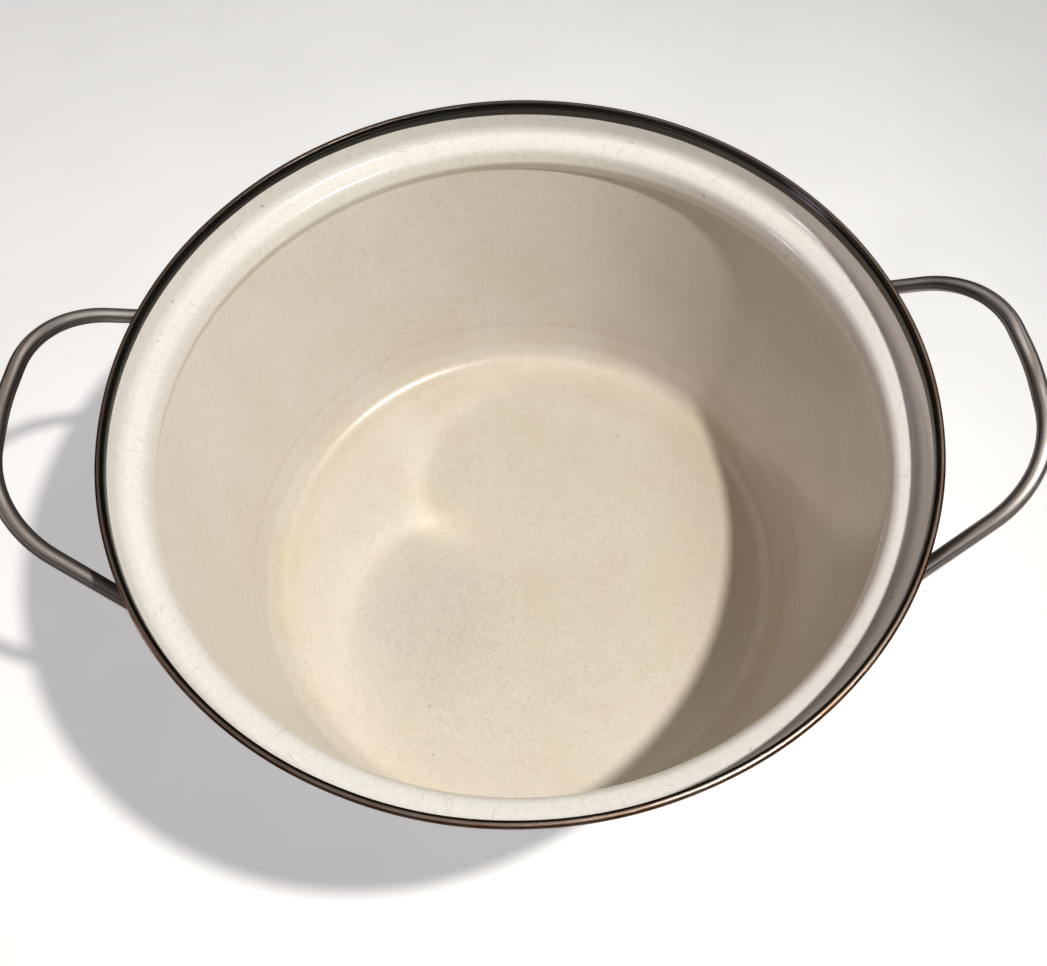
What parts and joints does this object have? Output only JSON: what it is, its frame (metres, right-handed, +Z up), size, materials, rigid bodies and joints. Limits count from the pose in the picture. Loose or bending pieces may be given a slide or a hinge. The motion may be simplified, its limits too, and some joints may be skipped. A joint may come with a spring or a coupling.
{
  "type": "water bath canner",
  "caption": "Open round enamelled steel pot for water-bath canning, with a stepped lid seat, a bright rolled rim trim and a fixed bent-rod loop handle on either side.",
  "frame": {"origin": "centre of the flat base, on the surface that the pot stands on", "axes": "+Z up along the pot's axis, +X towards the right handle, -Y towards the front"},
  "size_m": [0.4466, 0.356, 0.1934],
  "materials": {
    "enamel": "glossy vitreous enamel on steel, cream inside",
    "rim_steel": "polished stainless steel, finely scratched",
    "handle_steel": "polished stainless steel",
    "saddle_enamel": "glossy black vitreous enamel on steel"
  },
  "bodies": {
    "root": {"pot_shell": "enamel", "rim_trim": "rim_steel", "handle_left": "handle_steel", "handle_right": "handle_steel", "saddle_left_front": "saddle_enamel", "saddle_left_rear": "saddle_enamel", "saddle_right_front": "saddle_enamel", "saddle_right_rear": "saddle_enamel"}
  },
  "joints": []
}
